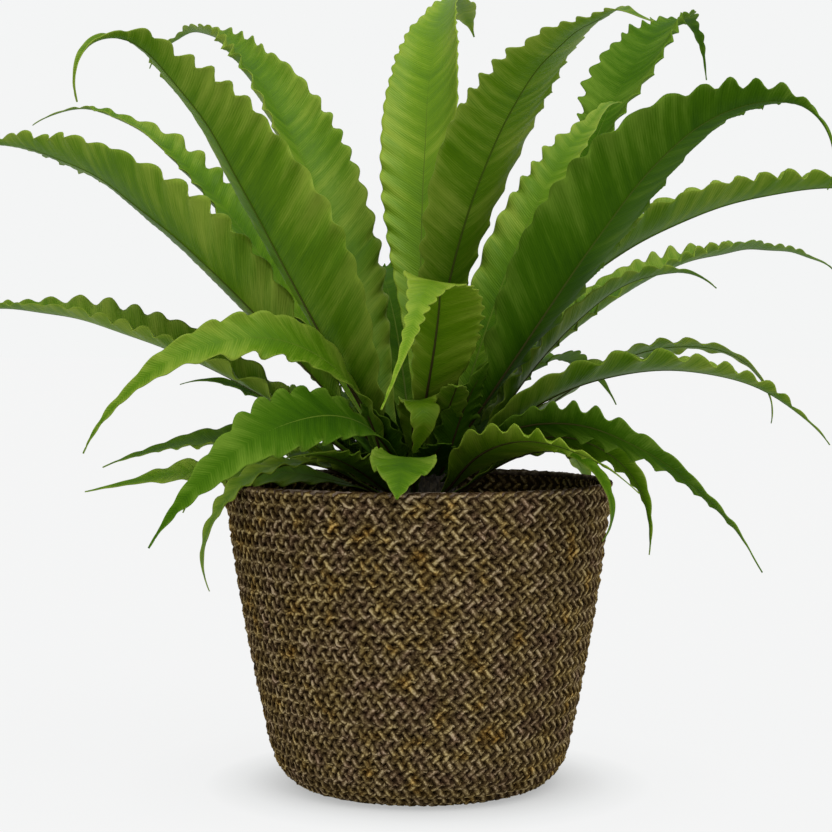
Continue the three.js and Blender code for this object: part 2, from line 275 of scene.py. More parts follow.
# each piece's seams and the number of its first row, from the middle of the base upwards
row_sets = {"basket_base": (base_seams, 0), "basket_corner": (seams[:6], 6),
            "basket_wall_lower": (seams[5:12], 11), "basket_wall_middle": (seams[11:18], 17),
            "basket_wall_upper": (seams[17:], 23)}
for name, (edges, first) in row_sets.items():
    strands = [plait_strand(edges[i], edges[i + 1], first + i, strand)
               for i in range(len(edges) - 1) for strand in range(3)]
    dress(join_pieces(strands, name), yarn, "basket")


def turned_shell(profile, sides, name):
    """A closed shell spun about the upright axis from a closed profile of (radius, height)."""
    bpy.ops.mesh.primitive_circle_add(vertices=len(profile), radius=MM)
    shell = bpy.context.object
    shell.name = shell.data.name = name
    set_points(shell, np.array([(radius, 0.0, height) for radius, height in profile]))
    bpy.ops.object.mode_set(mode="EDIT")
    bpy.ops.mesh.select_all(action="SELECT")
    bpy.ops.mesh.spin(steps=sides, angle=2 * math.pi, center=(0, 0, 0), axis=(0, 0, 1))
    bpy.ops.mesh.select_all(action="SELECT")
    bpy.ops.mesh.remove_doubles(threshold=0.00002)
    bpy.ops.mesh.normals_make_consistent(inside=False)
    bpy.ops.object.mode_set(mode="OBJECT")
    bpy.ops.object.shade_smooth_by_angle(angle=math.radians(40))
    set_points(shell, lean(points_of(shell) / MM))
    return shell


def thread_and_gap_shade_finish():
    """Dark brown thread with a fine grain, also standing as painted shade in the gaps between the strands."""
    finish, tree, shader = new_finish("sewing thread", 0.95)
    object_place = place(tree, "ShaderNodeTexCoord").outputs["Object"]
    grain = place(tree, "ShaderNodeTexNoise", {"Vector": object_place, "Scale": 900.0, "Detail": 2.0})
    color = ramp(tree, grain.outputs["Fac"], [(0.35, (0.010, 0.006, 0.002)), (0.7, (0.040, 0.024, 0.009))])
    tree.links.new(color, shader.inputs["Base Color"])
    shader.inputs["Specular IOR Level"].default_value = 0.0
    return finish


# The sewing and the painted shade in the gaps between the strands, as one thin dark layer
# under them, from the base's edge to just below the rim.
sewing_shade_bends = (0.0, 0.45, 0.9)
sewing_shade_top = basket_height - 3.0


def sewing_shade_line(depth, bend_radius):
    """One face of the sewing-and-shade layer, that far inside the wall and at that radius round the corner.
    """
    corner = [(base_radius + bend_radius * math.sin(angle), corner_radius - bend_radius * math.cos(angle))
              for angle in sewing_shade_bends]
    wall = [(r - depth, z) for r, z in seams[4:-1]]
    return corner + wall + [(mouth_radius - depth, sewing_shade_top)]


sewing_shade_profile = sewing_shade_line(0.8, 27.6) + sewing_shade_line(1.6, 26.5)[::-1]
dress(turned_shell(sewing_shade_profile, 96, "basket_sewing"), thread_and_gap_shade_finish(), "basket")


def rim_finish():
    """Dusty mauve-brown wool, mottled with paler fibres."""
    finish, tree, shader = new_finish("rim cord", 0.9)
    object_place = place(tree, "ShaderNodeTexCoord").outputs["Object"]
    noise = place(tree, "ShaderNodeTexNoise", {"Vector": object_place, "Scale": 260.0, "Detail": 4.0})
    wool = noise.outputs["Fac"]
    color = ramp(tree, wool, [(0.3, (0.035, 0.022, 0.014)), (0.5, (0.10, 0.072, 0.052)),
                              (0.7, (0.22, 0.175, 0.13))])
    tree.links.new(color, shader.inputs["Base Color"])
    bump = place(tree, "ShaderNodeBump", {"Height": wool, "Strength": 0.8, "Distance": 0.0006})
    tree.links.new(bump.outputs["Normal"], shader.inputs["Normal"])
    shader.inputs["Specular IOR Level"].default_value = 0.0
    return finish


cord_radius = 1.9
cord_inset = 1.2
cord_twists = 110
bpy.ops.mesh.primitive_torus_add(major_segments=300, minor_segments=10,
                                 major_radius=(mouth_radius - cord_inset) * MM,
                                 minor_radius=cord_radius * MM)
rim_cord = bpy.context.object
rim_cord.name = rim_cord.data.name = "basket_rim"
found = points_of(rim_cord) / MM
turn = np.arctan2(found[:, 1], found[:, 0])
twist = np.arctan2(found[:, 2], np.hypot(found[:, 0], found[:, 1]) - mouth_radius + cord_inset)
swell = 1 + 0.16 * np.cos(2 * twist + cord_twists * turn) + 0.05 * np.sin(9 * turn + 2)
found[:, :2] *= (1 + cord_radius * (swell - 1) * np.cos(twist) / mouth_radius)[:, None]
found[:, 2] = found[:, 2] * swell * 0.9 + basket_height - cord_radius
found[:, 2] += 0.25 * np.sin(3 * turn + 1) + 0.15 * np.sin(11 * turn)
set_points(rim_cord, lean(found))
bpy.ops.object.shade_smooth()
dress(rim_cord, rim_finish(), "basket")

# ---- Nursery pot ------------------------------------------------------------------------------
# A thin black plastic grow pot that the plant was sold in, dropped whole into the basket.
# Its turned-out lip lies below the basket's mouth, and its floor has six drain holes. Its own
# solid is shown, so it only gets its finish here.

pot_gap = 0.3  # between its floor and the basket's
pot_bottom = wall_thickness + pot_gap
pot_height = 158
pot_base_radius = 62
pot_mouth_radius = 94


def pot_radius(height):
    """The radius of the pot's outer face, which widens evenly to the mouth."""
    taper = (pot_mouth_radius - pot_base_radius) * (height - pot_bottom) / pot_height
    return pot_base_radius + taper


def plastic_finish():
    """Black plastic, dulled and greyed where soil dust has dried on it."""
    roughness = 0.45
    finish, tree, shader = new_finish("pot plastic", roughness)
    object_place = place(tree, "ShaderNodeTexCoord").outputs["Object"]
    dust = place(tree, "ShaderNodeTexNoise", {"Vector": object_place, "Scale": 45.0, "Detail": 6.0})
    color = ramp(tree, dust.outputs["Fac"], [(0.4, (0.012, 0.012, 0.013)), (0.75, (0.05, 0.043, 0.036))])
    tree.links.new(color, shader.inputs["Base Color"])
    dusty = calc(tree, "MULTIPLY_ADD", dust.outputs["Fac"], 0.35, roughness - 0.17)
    tree.links.new(dusty, shader.inputs["Roughness"])
    return finish


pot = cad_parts["nursery_pot"]
pot.data.materials.clear()
pot.data.materials.append(plastic_finish())

# ---- Soil -------------------------------------------------------------------------------------
# Dark damp potting soil that fills the pot, heaped against the crown, with loose crumbs and
# bits of bark lying on it.

soil_level = 160
soil_mound = 18
mound_reach = 62
crown_middle = 172
crown_radius = 28
surface_inset = 2.9  # from the pot's outer face to the edge of the soil's surface
side_inset = 3.0  # from the pot's outer face to the soil's side
floor_inset = 3.2  # from the pot's bottom to the soil's underside
level_edge = 6  # the surface's unevenness dies out over this last stretch to the pot
side_share = 0.6  # share of the sphere's lower half that becomes the soil's side


def soil_height(radius):
    """The soil's mean surface, which rises to the crown in a smooth mound."""
    out = np.clip((radius - crown_radius) / (mound_reach - crown_radius), 0, 1)
    return soil_level + soil_mound * (1 - out * out * (3 - 2 * out))


def roll_of(x, y):
    """Uneven rise and fall of the soil's surface, in millimetres."""
    return (1.3 * np.sin(0.21 * x + 1.0) * np.sin(0.17 * y + 2.0)
            + 0.9 * np.sin(0.47 * x + 0.31 * y) + 0.5 * np.sin(0.9 * y - 0.7 * x + 2.0))


def soil_finish():
    """Dark crumbs with paler bits of bark among them."""
    finish, tree, shader = new_finish("potting soil", 0.9)
    object_place = place(tree, "ShaderNodeTexCoord").outputs["Object"]
    grains = place(tree, "ShaderNodeTexVoronoi", {"Vector": object_place, "Scale": 420.0})
    clods = place(tree, "ShaderNodeTexNoise", {"Vector": object_place, "Scale": 150.0, "Detail": 6.0})
    color = ramp(tree, clods.outputs["Fac"], [(0.3, (0.006, 0.004, 0.003)), (0.5, (0.028, 0.018, 0.011)),
                                              (0.62, (0.075, 0.048, 0.028)), (0.74, (0.16, 0.11, 0.065))])
    tree.links.new(color, shader.inputs["Base Color"])
    relief = calc(tree, "SUBTRACT", clods.outputs["Fac"], grains.outputs["Distance"])
    bump = place(tree, "ShaderNodeBump", {"Height": relief, "Strength": 0.9, "Distance": 0.0015})
    tree.links.new(bump.outputs["Normal"], shader.inputs["Normal"])
    return finish


soil_look = soil_finish()
bpy.ops.mesh.primitive_uv_sphere_add(segments=120, ring_count=72, radius=1)
soil = bpy.context.object
soil.name = soil.data.name = "soil_fill"
ball = points_of(soil)

# The sphere's upper half becomes the surface, and its lower half the side and the underside.
polar = np.arccos(np.clip(ball[:, 2], -1, 1)) / (math.pi / 2)
bearing = np.arctan2(ball[:, 1], ball[:, 0])
surface_radius = pot_radius(soil_level) - surface_inset
sink = np.clip(polar - 1, 0, 1)
side_depth = soil_level - pot_bottom - floor_inset
side_height = soil_level - side_depth * np.clip(sink / side_share, 0, 1)
side_radius = (pot_radius(side_height) - side_inset) * np.clip((1 - sink) / (1 - side_share), 0, 1)
radius = np.where(polar <= 1, surface_radius * polar, side_radius)
x, y = radius * np.cos(bearing), radius * np.sin(bearing)
rolling = np.clip((surface_radius - radius) / level_edge, 0, 1)
top = soil_height(radius) + rolling * roll_of(x, y)
height = np.where(polar <= 1, top, side_height)
set_points(soil, lean(np.stack([x, y, height], axis=1)))
bpy.ops.object.shade_smooth()
dress(soil, soil_look, "soil")


def scatter(model, places, name):
    """Copies a model to each (location, turn, size), in millimetres and radians, as one piece."""
    copies = []
    for location, turn, size in places:
        copy = model.copy()
        copy.data = model.data.copy()
        copy.location = [v * MM for v in location]
        copy.rotation_euler = turn
        copy.scale = size
        bpy.context.collection.objects.link(copy)
        copies.append(copy)
    bpy.data.objects.remove(model)
    heap = join_pieces(copies, name)
    bpy.ops.object.transform_apply(location=True, rotation=True, scale=True)
    return heap


draw = random.Random(7)
crumb_count = 1500
crumbs_from = 27  # the crumbs lie from this radius
crumbs_spread = 62  # to this much further out
bpy.ops.mesh.primitive_ico_sphere_add(subdivisions=1, radius=MM)
crumb = bpy.context.object
bpy.ops.object.mode_set(mode="EDIT")
bpy.ops.transform.vertex_random(offset=0.0003, seed=3)
bpy.ops.object.mode_set(mode="OBJECT")
crumbs = []
for i in range(crumb_count):
    bearing = draw.uniform(0, 2 * math.pi)
    radius = crumbs_from + crumbs_spread * math.sqrt(draw.random())
    size = draw.choice((0.8, 1.0, 1.2, 1.5, 2.2)) * draw.uniform(0.7, 1.3)
    x, y = radius * math.cos(bearing), radius * math.sin(bearing)
    z = float(soil_height(radius) + roll_of(x, y)) + 0.3 * size
    turn = [draw.uniform(0, 6.28) for _ in range(3)]
    crumbs.append(((x, y, z), turn, (size, size * draw.uniform(0.6, 1), size * draw.uniform(0.5, 1))))
dress(scatter(crumb, crumbs, "soil_crumbs"), soil_look, "soil")

# ---- Crown ------------------------------------------------------------------------------------
# The short rootstock that the fronds grow from: a dome of dead stalk bases and dark papery
# scales, bedded in the soil.

dome_inset = 1.6  # the dome under the scales is this much smaller than the whole crown
scale_inset = 1.2
scale_count = 240
scale_half_thickness = 1.0
scale_half_width = 2.1
scale_lift = 0.75  # how much more upright a scale stands than the dome under it faces, in radians
golden_angle = 2.39996  # the turn from each scale to the next, which spreads them evenly


def crown_finish():
    """Dark brown, streaked with upright fibres."""
    finish, tree, shader = new_finish("crown scales", 0.8)
    object_place = place(tree, "ShaderNodeTexCoord").outputs["Object"]
    streaks = place(tree, "ShaderNodeMapping", {"Vector": object_place, "Scale": (600.0, 600.0, 120.0)})
    noise = place(tree, "ShaderNodeTexNoise", {"Vector": streaks.outputs[0], "Scale": 1.0, "Detail": 4.0})
    fibres = noise.outputs["Fac"]
    color = ramp(tree, fibres, [(0.35, (0.008, 0.006, 0.003)), (0.55, (0.025, 0.018, 0.008)),
                                (0.75, (0.07, 0.05, 0.022))])
    tree.links.new(color, shader.inputs["Base Color"])
    bump = place(tree, "ShaderNodeBump", {"Height": fibres, "Strength": 0.8, "Distance": 0.001})
    tree.links.new(bump.outputs["Normal"], shader.inputs["Normal"])
    return finish


crown_look = crown_finish()
bpy.ops.mesh.primitive_uv_sphere_add(segments=48, ring_count=32, radius=1)
dome = bpy.context.object
ball = points_of(dome)
lump = 1 + 0.03 * np.sin(9 * ball[:, 0] + 4 * ball[:, 2]) * np.sin(11 * ball[:, 1])
below = np.clip(-ball[:, 2] - 0.3, 0, 1)
points = ball * (crown_radius - dome_inset) * lump[:, None]
points[:, :2] *= (1 - 0.6 * below)[:, None]
points[:, 2] += crown_middle - 10 * below
set_points(dome, points)
bpy.ops.object.shade_smooth()
bpy.ops.mesh.primitive_cone_add(vertices=6, radius1=1, radius2=0.1, depth=1)
scale_model = bpy.context.object
bpy.ops.object.mode_set(mode="EDIT")
bpy.ops.mesh.select_all(action="SELECT")
bpy.ops.mesh.subdivide(number_cuts=1)
bpy.ops.object.mode_set(mode="OBJECT")

# The scales run from just above the dome's widest part to its top.
scales = []
out = crown_radius - scale_inset
for i in range(scale_count):
    lift = math.asin(0.02 + 0.97 * (i + 0.5) / scale_count)
    bearing = i * golden_angle
    spot = (out * math.cos(lift) * math.cos(bearing), out * math.cos(lift) * math.sin(bearing),
            crown_middle + out * math.sin(lift))
    tip_out = math.pi / 2 - min(lift + scale_lift, 1.5)
    length = draw.uniform(5, 9) * (1.15 - 0.3 * lift)
    size = (scale_half_thickness * MM, scale_half_width * MM, length * MM)
    scales.append((spot, (0, tip_out, bearing), size))
scale_coat = scatter(scale_model, scales, "crown_scales")
dress(join_pieces([scale_coat, dome], "crown_scales"), crown_look, "crown")

# ---- Fronds -----------------------------------------------------------------------------------
# Long undivided blades that rise from the crown and arch over, each a shallow gutter about
# its midrib, pleated along slanting veins and frilled at the margins, ending in a thin tail.

stalk_half = 1.8  # half the blade's width at its foot
stalk_gap = 0.3  # between the crown and the foot of each stalk
turn_out = 32  # a stalk leaves the crown squarely and takes its own direction within this length
blade_thickness = 0.55
vein_slant = 0.6  # how far a vein runs forward for its way outward
frill_height = 2.6  # rise of the ruffles on a broad blade
pleat_height = 0.16
lobe_depth = 3.0
ruffle_length = 18.5  # from one ruffle to the next along the margin
tall_back_ruffle = 13.0
ragged_ruffle = 11.0
pattern_unit = 100  # the leaves' pattern counts in tenths of a metre
rib_end = 0.86  # share of a frond's length at which its midrib fades out

# each ring's height on the crown and the room that each stalk needs round it, in degrees
rings = {"young": (77, 52), "upper": (57, 26), "middle": (38, 22), "lower": (20, 20)}

# name, heading, length, width, climb at the crown, climb at the tip, lateness of the bend, swing
# of the heading, roll and fold, in degrees and millimetres, ring by ring; then, where they are not
# the usual ones, how far out the blade is widest and the share of the length that ends the bend
usual_ending = (0.95, 1)
fronds = {
    "young": [
        ("tall_back", 88, 441, 56, 75, -45, 3.88, -15, -20, 20, 1.03),
        ("tall_front", -66.4, 468, 57, 89, -19, 0.95, -12, 11, 17),
        ("small_left", -158.5, 44, 17, 62.3, 50, 1.56, 6, -3, 6, 0.97),
        ("folded_front", -69.8, 274, 49, 58.8, -57, 2.68, -63, -11, 4, 0.78, 0.78),
    ],
    "upper": [
        ("right_front", -28.2, 393, 80, 53, -125, 5.27, -17, -17, 25, 0.91),
        ("right_sweep", -0.7, 441, 55, 69.1, -26, 1.05, -2, 3, 36, 0.78),
        ("right_back", 33, 350, 37, 70, 4, 2.2, 37, 18, 14, 0.82),
        ("right_hook", 50.3, 590, 55, 49, -65, 5.63, 19, -5, 16, 0.82),
        ("back", 100, 300, 52, 58, -50, 2.0, 0, 0, 16),
        ("left_back", 128.4, 521, 61, 64.5, -30, 2.6, -10, 2, 32, 0.79),
        ("left_behind", 159.8, 400, 40, 56.1, -23, 3.33, -19, -5, 16, 0.93),
        ("left_sweep", -171.8, 390, 75, 48.5, -10, 2.88, -57, 32, 24, 0.98),
        ("left_front", -145, 394, 80, 55.8, -111, 6.48, 29, 1, 36, 0.78),
        ("small_forked", -98.1, 99, 18, 84.1, -120, 2.7, 51, 3, 7, 1.31, 0.8),
        ("small_right", -60, 93, 17, 66.9, -9, 1.73, -37, -7, 9, 0.98),
    ],
    "middle": [
        ("right_1", 34.6, 479, 42, 57.2, -14, 0.85, 21, -2, 25, 0.82),
        ("right_2", -24.6, 275, 54, 51.9, -49, 1.18, 50, -1, 23, 0.78),
        ("right_3", 14.7, 263, 40, 55.9, -27, 2.32, 29, -14, 29, 0.79),
        ("right_4", 13.1, 257, 33, 38, -104, 3.42, -23, -17, 4, 0.78),
        ("right_5", -45, 272, 34, 62.9, -54, 0.65, 3, -41, 4, 1.13),
        ("back_1", 52, 250, 46, 44, -50, 1.8, 0, 0, 16),
        ("back_2", 84, 240, 46, 38, -45, 1.6, 0, 0, 14),
        ("back_3", 118, 230, 46, 36, -50, 1.6, 0, 0, 14),
        ("left_1", 152.8, 168, 28, 31.6, -15, 3.19, 4, -15, 14, 0.9),
        ("left_2", 178, 362, 48, 40.1, -7, 1.1, -47, -9, 31, 0.88),
        ("left_3", -123.6, 279, 33, 81.6, -66, 0.99, -58, -50, 13, 0.82),
        ("left_4", -117.2, 246, 35, 70.6, -59, 0.7, -43, -50, 6, 0.98),
    ],
    "lower": [
        ("low_right_1", -27.7, 183, 30, 66.1, -100, 1.1, -3, -50, 12, 0.93),
        ("low_right_2", -32.1, 156, 16, 36, -130, 2.15, -3, 1, 6),
        ("low_right_3", -57.6, 172, 40, 58, -42, 0.9, 35, -20, 4, 0.85),
        ("low_front", -93.6, 127, 31, 35, -41, 1.9, -4, -4, 4, 1.69, 0.9),
        ("low_left_1", -123.9, 114, 34, 30.4, -8, 1.58, 0, 2, 8),
        ("low_left_2", -150, 172, 20, 42, -112, 1.27, -12, -8, 10, 0.88),
        ("low_left_3", -170.7, 183, 31, 25.5, -15, 0.65, -12, -28, 4, 0.8),
        ("low_left_4", 165.6, 188, 28, 54, -25, 0.65, 15, -23, 9, 0.94),
        ("low_back_1", 56, 230, 44, 30, -60, 1.5, 0, 0, 14),
        ("low_back_2", 98, 190, 34, 24, -80, 1.6, 0, 0, 12),
        ("low_back_3", 140, 210, 40, 28, -60, 1.5, 0, 0, 14),
    ],
}


def frond_seats(headings, spacing):
    """Pushes the stalks of one ring apart until each has its spacing round the crown."""
    passes = 400
    order = sorted([heading % 360, i] for i, heading in enumerate(headings))
    for _ in range(passes):
        for i, stalk in enumerate(order):
            following = order[(i + 1) % len(order)]
            wrap = 360 if i + 1 == len(order) else 0
            short = spacing - (following[0] + wrap - stalk[0])
            if short > 0:
                stalk[0] -= short / 4
                following[0] += short / 4
    seats = {i: headings[i] + (angle - headings[i] + 180) % 360 - 180 for angle, i in order}
    return [seats[i] for i in range(len(headings))]


def pointing(climb, heading):
    """The direction with that climb and heading, in radians."""
    level = np.cos(climb)
    return np.stack([level * np.cos(heading), level * np.sin(heading), np.sin(climb)], axis=-1)


def drift(x, seed):
    """A slow wander to either side of zero, by 1.4 at the most."""
    return (np.sin(x + 1.7 * seed) + np.sin(0.61 * x + 2.9 * seed) + np.sin(0.37 * x + 5.3 * seed)) / 2.2


class Course:
    """The midrib's line and the blade's directions at any share t of a frond's length."""

    def __init__(self, row, lift, seat):
        (self.name, self.heading, self.length, self.width, self.rise, self.droop, self.late, self.swing,
         self.roll, self.fold, self.belly, self.settled) = row + usual_ending[len(row) - 10:]
        self.lift = lift
        self.seat = seat
        self.steps = np.linspace(0, 1, max(round(self.length / 2), 24) + 1)
        middles = (self.steps[1:] + self.steps[:-1]) / 2
        moves = pointing(*self.angles(middles)) * self.length * np.diff(self.steps)[:, None]
        outward = pointing(math.radians(lift), math.radians(seat))
        root = np.array([0, 0, crown_middle]) + (crown_radius + stalk_gap) * outward
        self.line = np.vstack([root, root + np.cumsum(moves, axis=0)])

    def angles(self, t):
        """The midrib's climb and heading at each t, in radians."""
        reach = min(turn_out, 0.4 * self.length)
        start = np.maximum(1 - t * self.length / reach, 0) ** 2
        bent = np.minimum(t / self.settled, 1) ** self.late
        climb = self.rise + (self.droop - self.rise) * bent + (self.lift - self.rise) * start
        heading = self.heading + self.swing * t ** 1.5 + (self.seat - self.heading) * start
        return np.radians(climb), np.radians(heading)

    def at(self, t):
        """The place at each t, and the directions to the blade's right and up from it."""
        climb, heading = self.angles(t)
        along = pointing(climb, heading)
        flat = np.stack([np.sin(heading), -np.cos(heading), np.zeros_like(heading)], axis=-1)
        up = np.cross(flat, along)
        tilt = (math.radians(self.roll) * np.minimum(3 * t, 1))[..., None]
        spot = np.stack([np.interp(t, self.steps, self.line[:, k]) for k in range(3)], axis=-1)
        across = flat * np.cos(tilt) - up * np.sin(tilt)
        above = up * np.cos(tilt) + flat * np.sin(tilt)

        # The outer part of a frond wanders a little from its even arch, the long ones more.
        far = t * self.length / 13
        loose = min(self.length / 150, 2) * np.clip(t - 0.35, 0, 1)
        spot = spot + across * (loose * drift(far, self.heading))[..., None]
        spot = spot + above * (1.2 * loose * drift(1.3 * far, self.heading + 2))[..., None]
        return spot, across, above

    def half_width(self, t):
        """Half the blade's width at each t, which swells and narrows along the tail."""
        full = np.sin(np.pi * t ** self.belly) ** (1.1 if self.length < 130 else 2)
        if self.name == "folded_front":  # its end hangs over as a narrow tongue
            full = full * (1 - 0.5 * np.clip((t - 0.6) / 0.16, 0, 1))
        if self.name == "right_hook":  # it is narrow up to its crook
            full = np.sin(np.pi * t ** 1.35) ** 2 * (0.55 + 0.45 * np.clip((t - 0.52) / 0.08, 0, 1))
        if self.name == "tall_back":  # it widens once more just before its tip
            full = full + 0.25 * np.exp(-((t - 0.94) / 0.03) ** 2)
        full = full * (1 + 0.4 * np.clip(2.5 * t - 1.5, 0, 1) * drift(t * self.length / 6, self.heading))
        return self.width / 2 * full + stalk_half * (1 - 0.8 * t ** 6)


def lay_pattern(piece, lay):
    """Gives a piece's UV map the places (along, across) that its vertices have on the leaf."""
    corners = np.empty(len(piece.data.loops), dtype=np.int32)
    piece.data.loops.foreach_get("vertex_index", corners)
    piece.data.uv_layers.active.uv.foreach_set("vector", lay[corners].ravel())


def frond_blade(course, seed):
    """The blade as a grid bent along its course, frilled at the margins and pleated."""
    ragged = course.length < 130 or course.name == "folded_front"
    row_length = 1.2 if ragged else 1.8
    rows = max(round(course.length / row_length), 30)
    bpy.ops.mesh.primitive_grid_add(x_subdivisions=22, y_subdivisions=rows, size=1)
    blade = bpy.context.object
    found = points_of(blade)
    t = np.clip(found[:, 1] + 0.5, 0, 1)
    side = np.sign(np.round(found[:, 0], 5))
    outward = np.abs(found[:, 0] * 2) ** 0.85  # 0 on the midrib and 1 at the margin
    spot, across, up = course.at(t)
    half = course.half_width(t)
    if course.name == "folded_front":  # one side is narrow up to the fold
        half = half * np.where(side > 0, 1 - 0.45 * np.clip((0.62 - t) / 0.1, 0, 1), 1)

    # Ruffles and pleats follow the veins, which slant outwards and forwards from the midrib.
    frill_seed = seed + np.where(side > 0, 0.0, 4.0)
    wave_length = tall_back_ruffle if course.name == "tall_back" else ruffle_length
    wave_drift = 22
    if ragged:
        wave_length = ragged_ruffle
        wave_drift = 10
    vein = t * course.length - vein_slant * outward * half
    phase = 2 * np.pi * vein / wave_length + 2.6 * drift(vein / wave_drift, frill_seed)
    swing = np.clip(0.85 + 0.9 * drift(vein / 19, frill_seed + 3), 0.1, 1.8)
    frill = np.minimum(frill_height, 0.17 * (half - stalk_half)) * swing
    ruffle = np.sin(phase) + 0.2 * np.sin(2 * phase + 0.8)
    pleat = pleat_height * np.sin(vein + 2 * drift(vein / 11, frill_seed + 7))
    pleat *= np.sin(np.pi * np.clip(outward * 1.05, 0, 1)) * np.clip(half / 12, 0, 1)
    lift = frill * ruffle * (0.8 * outward ** 5 + 0.2 * outward ** 2.5) + pleat

    # The margin is drawn into shallow lobes as well, one to a ruffle, deeper towards the tail.
    lobes = np.abs(np.sin(phase / 2 + 0.4)) ** 1.1 - 0.6
    lobe_drift = 9 if ragged else 21
    tail = np.clip(t * 2.2 - 1, 0, 1)
    depth = np.minimum(lobe_depth, 0.15 * half + 1.4 * tail * np.clip(half / 4, 0, 1))
    depth *= np.clip(0.9 + 0.9 * drift(vein / lobe_drift, frill_seed + 11), 0.1, 2)
    if ragged:
        depth = np.maximum(depth, np.minimum(1.2, 0.12 * half))
    if course.name in ("folded_front", "tall_front"):  # flatter fronds
        lift *= 0.55
    if course.name == "tall_back":  # the smoothest margin of all
        depth *= 0.45
        lift *= 0.6
    reach = half * outward + depth * lobes * outward ** 5

    # The two halves rise from the midrib by the fold, and each sags a little between its edges.
    fold = math.radians(course.fold)
    out = across * (side * math.cos(fold))[:, None] + up * math.sin(fold)
    normal = up * math.cos(fold) - across * (side * math.sin(fold))[:, None]
    sag = -0.1 * half * np.sin(np.pi * outward) * min(course.fold / 20, 1)
    set_points(blade, spot + out * reach[:, None] + normal * (lift + sag)[:, None])
    lay_pattern(blade, np.stack([t * course.length, side * outward * half], axis=-1) / pattern_unit)
    blade.data.attributes.new("outward", "FLOAT", "POINT").data.foreach_set("value", outward)
    walls = blade.modifiers.new("walls", "SOLIDIFY")
    walls.thickness = blade_thickness * MM
    walls.offset = 0
    walls.material_offset = 1
    bpy.ops.object.modifier_apply(modifier="walls")
    bpy.ops.object.shade_smooth()
    return blade


def frond_rib(course):
    """The midrib: an oval stalk that thins into the blade towards the tip."""
    rows = max(round(course.length / 5), 12)
    bpy.ops.mesh.primitive_uv_sphere_add(segments=10, ring_count=rows, radius=1)
    rib = bpy.context.object
    found = points_of(rib)
    t = np.arccos(np.clip(-found[:, 2], -1, 1)) / np.pi * rib_end
    around = np.arctan2(found[:, 1], found[:, 0])
    ends = np.clip(np.sin(np.pi * t / rib_end) * 12, 0, 1)
    wide = (1.5 - 1.25 * t ** 0.4) * ends
    deep = (1.3 - 1.05 * t ** 0.6) * ends
    spot, across, up = course.at(t)

    # It stands out more under the blade than above it, and evens out at the foot of the stalk.
    stands_out = np.where(np.sin(around) > 0, 1.25, 0.55 + 0.5 * np.clip(1 - 6 * t, 0, 1))
    sideways = across * (wide * np.cos(around))[:, None]
    downwards = up * (deep * stands_out * np.sin(around))[:, None]
    set_points(rib, spot + sideways - downwards)
    lay_pattern(rib, np.stack([t * course.length / pattern_unit, np.sin(around)], axis=-1))
    bpy.ops.object.shade_smooth()
    return rib


def vein_group():
    """Side veins slanting from midrib to margin with finer lines among them, and broad lanes."""
    group = bpy.data.node_groups.new("side veins", "ShaderNodeTree")
    group.interface.new_socket("Blade", in_out="INPUT", socket_type="NodeSocketVector")
    spacing = group.interface.new_socket("Spacing", in_out="INPUT", socket_type="NodeSocketFloat")
    spacing.default_value = 80.0
    for name in ("Veins", "Lanes"):
        group.interface.new_socket(name, in_out="OUTPUT", socket_type="NodeSocketFloat")
    enter = group.nodes.new("NodeGroupInput")
    leave = group.nodes.new("NodeGroupOutput")
    split = place(group, "ShaderNodeSeparateXYZ", {"Vector": enter.outputs["Blade"]})
    outward = calc(group, "ABSOLUTE", split.outputs["Y"])
    vein = calc(group, "MULTIPLY_ADD", outward, -0.75, split.outputs["X"])
    spread = place(group, "ShaderNodeCombineXYZ", {"X": vein, "Y": calc(group, "MULTIPLY", outward, 0.12)})
    fine = place(group, "ShaderNodeTexNoise", {"Vector": spread.outputs[0], "Scale": enter.outputs["Spacing"],
                                               "Detail": 2.0, "Roughness": 0.6})
    broad = place(group, "ShaderNodeTexNoise", {"Vector": spread.outputs[0], "Scale": 11.0, "Detail": 2.0})
    lines = calc(group, "MULTIPLY_ADD", fine.outputs["Fac"], 4.0, calc(group, "MULTIPLY", vein, 370.0))
    comb = calc(group, "SINE", lines)
    group.links.new(calc(group, "MULTIPLY_ADD", comb, 0.11, fine.outputs["Fac"]), leave.inputs["Veins"])
    group.links.new(broad.outputs["Fac"], leave.inputs["Lanes"])
    return group


side_veins = vein_group()


